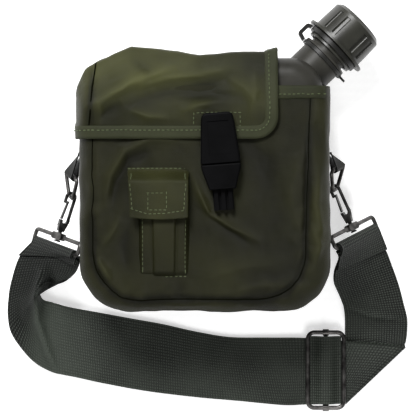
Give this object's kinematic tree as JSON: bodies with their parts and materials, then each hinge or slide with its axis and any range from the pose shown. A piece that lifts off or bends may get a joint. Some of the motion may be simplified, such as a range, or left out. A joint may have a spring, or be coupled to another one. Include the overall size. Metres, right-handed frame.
{
  "type": "canteen",
  "caption": "Square canteen bottle in a padded cloth cover with a buckled flap, small front pocket, tethered screw cap and a webbing shoulder sling on snap hooks.",
  "frame": {"origin": "middle of the cover's flat back face, on the surface it lies on", "axes": "+Z out of the front panel, +Y from the bottom seam to the flap, +X to the side where the neck stands out"},
  "size_m": [0.3004, 0.3011, 0.0884],
  "materials": {
    "cover_cloth": "olive coated nylon, plain weave",
    "binding_tape": "olive woven binding tape",
    "lining_pile": "short acrylic pile",
    "bottle_plastic": "grey-olive moulded polyethylene",
    "cap_plastic": "dark olive moulded plastic",
    "gasket_rubber": "black",
    "patch_pile": "hook and loop patch",
    "latch_plastic": "black acetal",
    "sling_webbing": "dark green ribbed nylon webbing",
    "wire_steel": "blackened steel wire",
    "hook_steel": "blackened cast steel"
  },
  "bodies": {
    "cover": {"front_panel": "cover_cloth", "gusset": "cover_cloth", "back_panel": "cover_cloth", "lining": "lining_pile", "mouth_binding": "binding_tape", "seam_piping": "binding_tape", "bottle_front": "bottle_plastic", "bottle_back": "bottle_plastic", "spout": "bottle_plastic", "spout_thread": "bottle_plastic", "tether_neck_ring": "cap_plastic", "tether_strap": "cap_plastic", "pocket_body": "cover_cloth", "pocket_loop_patch": "patch_pile", "latch_plug_tape": "sling_webbing"},
    "flap": {"flap_shell": "cover_cloth", "flap_binding": "binding_tape", "latch_socket": "latch_plastic", "latch_socket_tape": "sling_webbing"},
    "pocket_cover": {"pocket_flap": "cover_cloth", "pocket_hook_patch": "patch_pile"},
    "latch_tongue": {"latch_plug": "latch_plastic"},
    "arm_left": {"latch_arm_left": "latch_plastic"},
    "arm_right": {"latch_arm_right": "latch_plastic"},
    "cap_ring": {"tether_cap_ring": "cap_plastic"},
    "cap_body": {"cap": "cap_plastic", "cap_thread": "cap_plastic", "cap_gasket": "gasket_rubber"},
    "sling": {"tab_left": "binding_tape", "tab_right": "binding_tape", "d_ring_left": "wire_steel", "d_ring_right": "wire_steel", "swivel_loop_left": "wire_steel", "swivel_loop_right": "wire_steel", "strap": "sling_webbing"},
    "hook_left_body": {"hook_left": "hook_steel", "gate_rivet_left": "wire_steel"},
    "hook_right_body": {"hook_right": "hook_steel", "gate_rivet_right": "wire_steel"},
    "gate_left_body": {"gate_left": "hook_steel"},
    "gate_right_body": {"gate_right": "hook_steel"},
    "slider": {"slider_frame": "wire_steel", "slider_bar": "wire_steel", "strap_bridge": "sling_webbing"}
  },
  "joints": [
    {"name": "flap_hinge", "type": "hinge", "parent": "cover", "child": "flap", "pos_m": [0, 0.088, 0.006], "axis": [-1, 0, 0], "range_deg": [0, 110]},
    {"name": "pocket_flap_hinge", "type": "hinge", "parent": "cover", "child": "pocket_cover", "pos_m": [0, 0.0075, 0.0763], "axis": [-1, 0, 0], "range_deg": [0, 110]},
    {"name": "latch_release", "type": "slide", "parent": "cover", "child": "latch_tongue", "axis": [0.0785, -0.9969, 0], "range_m": [0, 0.022]},
    {"name": "latch_arm_left_squeeze", "type": "hinge", "parent": "latch_tongue", "child": "arm_left", "pos_m": [0.00371, 0.01001, 0.0844], "axis": [0, 0, -1], "range_deg": [0, 5], "stiffness_Nm_per_rad": 0.02},
    {"name": "latch_arm_right_squeeze", "type": "hinge", "parent": "latch_tongue", "child": "arm_right", "pos_m": [0.01866, 0.01119, 0.0844], "axis": [0, 0, 1], "range_deg": [0, 5], "stiffness_Nm_per_rad": 0.02},
    {"name": "cap_rise", "type": "slide", "parent": "cover", "child": "cap_ring", "axis": [0.7193, 0.6947, 0], "range_m": [0, 0.009]},
    {"name": "cap_turn", "type": "hinge", "parent": "cap_ring", "child": "cap_body", "pos_m": [0.0955, 0.0976, 0.038], "axis": [0.7193, 0.6947, 0], "range_deg": [0, 720]},
    {"name": "sling_swing", "type": "hinge", "parent": "cover", "child": "sling", "pos_m": [0, 0.019, 0.038], "axis": [-1, 0, 0], "range_deg": [0, 100]},
    {"name": "hook_left_swivel", "type": "hinge", "parent": "sling", "child": "hook_left_body", "pos_m": [-0.09759, -0.01044, 0.03306], "axis": [-0.3011, -0.9536, 0], "range_deg": [-14, 14]},
    {"name": "gate_left_spring", "type": "hinge", "parent": "hook_left_body", "child": "gate_left_body", "pos_m": [-0.1056, -0.02909, 0.03405], "axis": [-0.4188, 0.1323, -0.8984], "range_deg": [0, 10], "stiffness_Nm_per_rad": 0.02},
    {"name": "hook_right_swivel", "type": "hinge", "parent": "sling", "child": "hook_right_body", "pos_m": [0.09428, -0.00503, 0.03322], "axis": [0.4108, -0.9117, 0], "range_deg": [-14, 14]},
    {"name": "gate_right_spring", "type": "hinge", "parent": "hook_right_body", "child": "gate_right_body", "pos_m": [0.10075, -0.02428, 0.0322], "axis": [0.4107, 0.185, -0.8928], "range_deg": [0, 10], "stiffness_Nm_per_rad": 0.02},
    {"name": "slider_slide", "type": "slide", "parent": "sling", "child": "slider", "axis": [1, 0, 0], "range_m": [-0.012, 0.012]}
  ],
  "couplings": [
    {"joint": "cap_rise", "follows": "cap_turn", "m_per_rad": 0.0007162}
  ]
}
